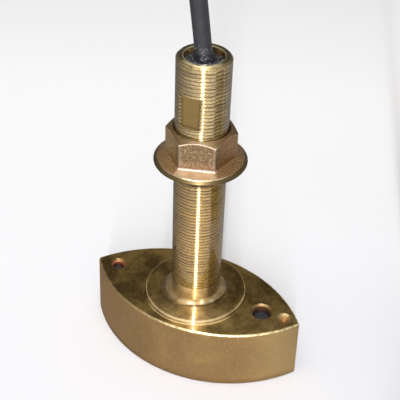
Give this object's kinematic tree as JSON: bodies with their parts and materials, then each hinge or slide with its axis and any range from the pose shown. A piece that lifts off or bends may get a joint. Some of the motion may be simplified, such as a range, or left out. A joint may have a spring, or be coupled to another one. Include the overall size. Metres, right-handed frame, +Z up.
{
  "type": "sonar transducer",
  "caption": "Bronze through-hull sonar transducer: eye-shaped housing, threaded stem with a flanged hull nut, and a coiled cable that ends in a plug.",
  "frame": {"origin": "on the stem's axis, at the middle of the housing's underside, where it rests on the ground", "axes": "+Z runs up the stem, +X along the housing's length towards the dimple's end, +Y across the housing"},
  "size_m": [0.3309, 0.1322, 0.2974],
  "materials": {
    "housing_bronze": "cast bronze, turned on top",
    "stem_bronze": "turned and threaded",
    "braze": "rough braze bead",
    "nut_bronze": "sand cast, machined rim",
    "window_urethane": "cast urethane",
    "piezo_ceramic": "fired, silvered faces",
    "cork_rubber": "cork rubber sheet",
    "ferrite": "ground ferrite",
    "copper": "enamelled wire",
    "lead_insulation": "extruded insulation",
    "potting": "poured resin",
    "cable_jacket": "satin jacket",
    "strap": "woven strap",
    "boot_rubber": "moulded",
    "plug_plastic": "moulded",
    "plug_insert": "moulded",
    "plated_pin": "gold plated",
    "seal_rubber": "moulded"
  },
  "bodies": {
    "transducer": {"housing": "housing_bronze", "stem": "stem_bronze", "braze_fillet": "braze", "acoustic_window": "window_urethane", "ceramic_disc": "piezo_ceramic", "isolation_ring": "cork_rubber", "backing_disc": "cork_rubber", "transformer_core": "ferrite", "transformer_winding": "copper", "cable_lead": "lead_insulation", "element_lead": "lead_insulation", "return_lead": "lead_insulation", "cavity_potting": "potting", "mouth_seal": "potting", "cable_in_stem": "cable_jacket", "cable_arch": "cable_jacket", "cable_coil": "cable_jacket", "cable_tail": "cable_jacket", "coil_ties": "strap", "connector_boot": "boot_rubber", "connector_body": "plug_plastic", "connector_ring": "plug_plastic", "connector_insert": "plug_insert", "connector_pins": "plated_pin", "connector_washer": "seal_rubber"},
    "hull_nut": {"hull_nut": "nut_bronze"}
  },
  "joints": [
    {"name": "nut_travel", "type": "slide", "parent": "transducer", "child": "hull_nut", "axis": [0, 0, 1], "range_m": [-0.078, 0.04]}
  ]
}
